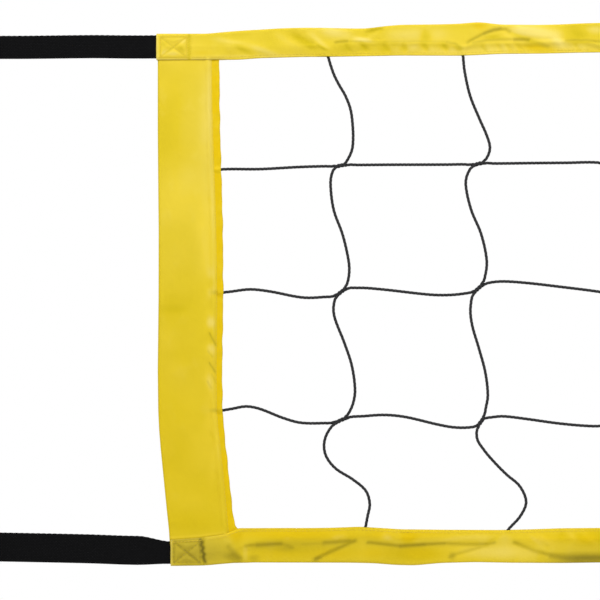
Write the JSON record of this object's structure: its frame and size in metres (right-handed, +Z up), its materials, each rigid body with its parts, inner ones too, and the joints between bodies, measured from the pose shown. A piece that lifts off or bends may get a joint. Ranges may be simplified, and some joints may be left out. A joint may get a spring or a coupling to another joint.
{
  "type": "volleyball net",
  "caption": "Slack volleyball net with yellow tapes and side bands, black cord mesh, and black webbing straps with cam buckles for poles.",
  "frame": {"origin": "middle of the whole net's box, straps and pole loops included", "axes": "+X along the net to the right as seen from its front, +Y through the net away from the viewer, +Z up"},
  "size_m": [3.6126, 0.0406, 0.4637],
  "materials": {
    "cloth": "thin woven polyester, matt",
    "edge_cord": "twisted cord, matt",
    "mesh_cord": "twisted cord, matt",
    "webbing": "woven webbing, matt",
    "buckle_steel": "zinc plated, satin",
    "lever_metal": "black coated, satin",
    "pin_steel": "satin",
    "spring_steel": "drawn wire"
  },
  "bodies": {
    "net": {"top_tape": "cloth", "bottom_tape": "cloth", "side_band_left": "cloth", "side_band_right": "cloth", "headline_cord": "edge_cord", "footline_cord": "edge_cord", "side_cord_left": "edge_cord", "side_cord_right": "edge_cord", "mesh_uprights": "mesh_cord", "mesh_rows": "mesh_cord", "strap_top_left": "webbing", "keeper_top_left": "webbing", "buckle_frame_top_left": "buckle_steel", "lever_pin_top_left": "pin_steel", "lever_spring_top_left": "spring_steel", "strap_top_right": "webbing", "keeper_top_right": "webbing", "buckle_frame_top_right": "buckle_steel", "lever_pin_top_right": "pin_steel", "lever_spring_top_right": "spring_steel", "strap_bottom_left": "webbing", "keeper_bottom_left": "webbing", "buckle_frame_bottom_left": "buckle_steel", "lever_pin_bottom_left": "pin_steel", "lever_spring_bottom_left": "spring_steel", "strap_bottom_right": "webbing", "keeper_bottom_right": "webbing", "buckle_frame_bottom_right": "buckle_steel", "lever_pin_bottom_right": "pin_steel", "lever_spring_bottom_right": "spring_steel"},
    "lever_top_left": {"cam_lever_top_left": "lever_metal"},
    "lever_top_right": {"cam_lever_top_right": "lever_metal"},
    "lever_bottom_left": {"cam_lever_bottom_left": "lever_metal"},
    "lever_bottom_right": {"cam_lever_bottom_right": "lever_metal"}
  },
  "joints": [
    {"name": "cam_release_top_left", "type": "hinge", "parent": "net", "child": "lever_top_left", "pos_m": [-1.729, -0.0122, 0.2123], "axis": [0, 0, -1], "range_deg": [0, 18], "stiffness_Nm_per_rad": 0.1, "springref_deg": -34.38, "deforming": ["lever_spring_top_left"]},
    {"name": "cam_release_top_right", "type": "hinge", "parent": "net", "child": "lever_top_right", "pos_m": [1.729, -0.0122, 0.2123], "axis": [0, 0, 1], "range_deg": [0, 18], "stiffness_Nm_per_rad": 0.1, "springref_deg": -34.38, "deforming": ["lever_spring_top_right"]},
    {"name": "cam_release_bottom_left", "type": "hinge", "parent": "net", "child": "lever_bottom_left", "pos_m": [-1.729, -0.0122, -0.2158], "axis": [0, 0, -1], "range_deg": [0, 18], "stiffness_Nm_per_rad": 0.1, "springref_deg": -34.38, "deforming": ["lever_spring_bottom_left"]},
    {"name": "cam_release_bottom_right", "type": "hinge", "parent": "net", "child": "lever_bottom_right", "pos_m": [1.729, -0.0122, -0.2158], "axis": [0, 0, 1], "range_deg": [0, 18], "stiffness_Nm_per_rad": 0.1, "springref_deg": -34.38, "deforming": ["lever_spring_bottom_right"]}
  ]
}
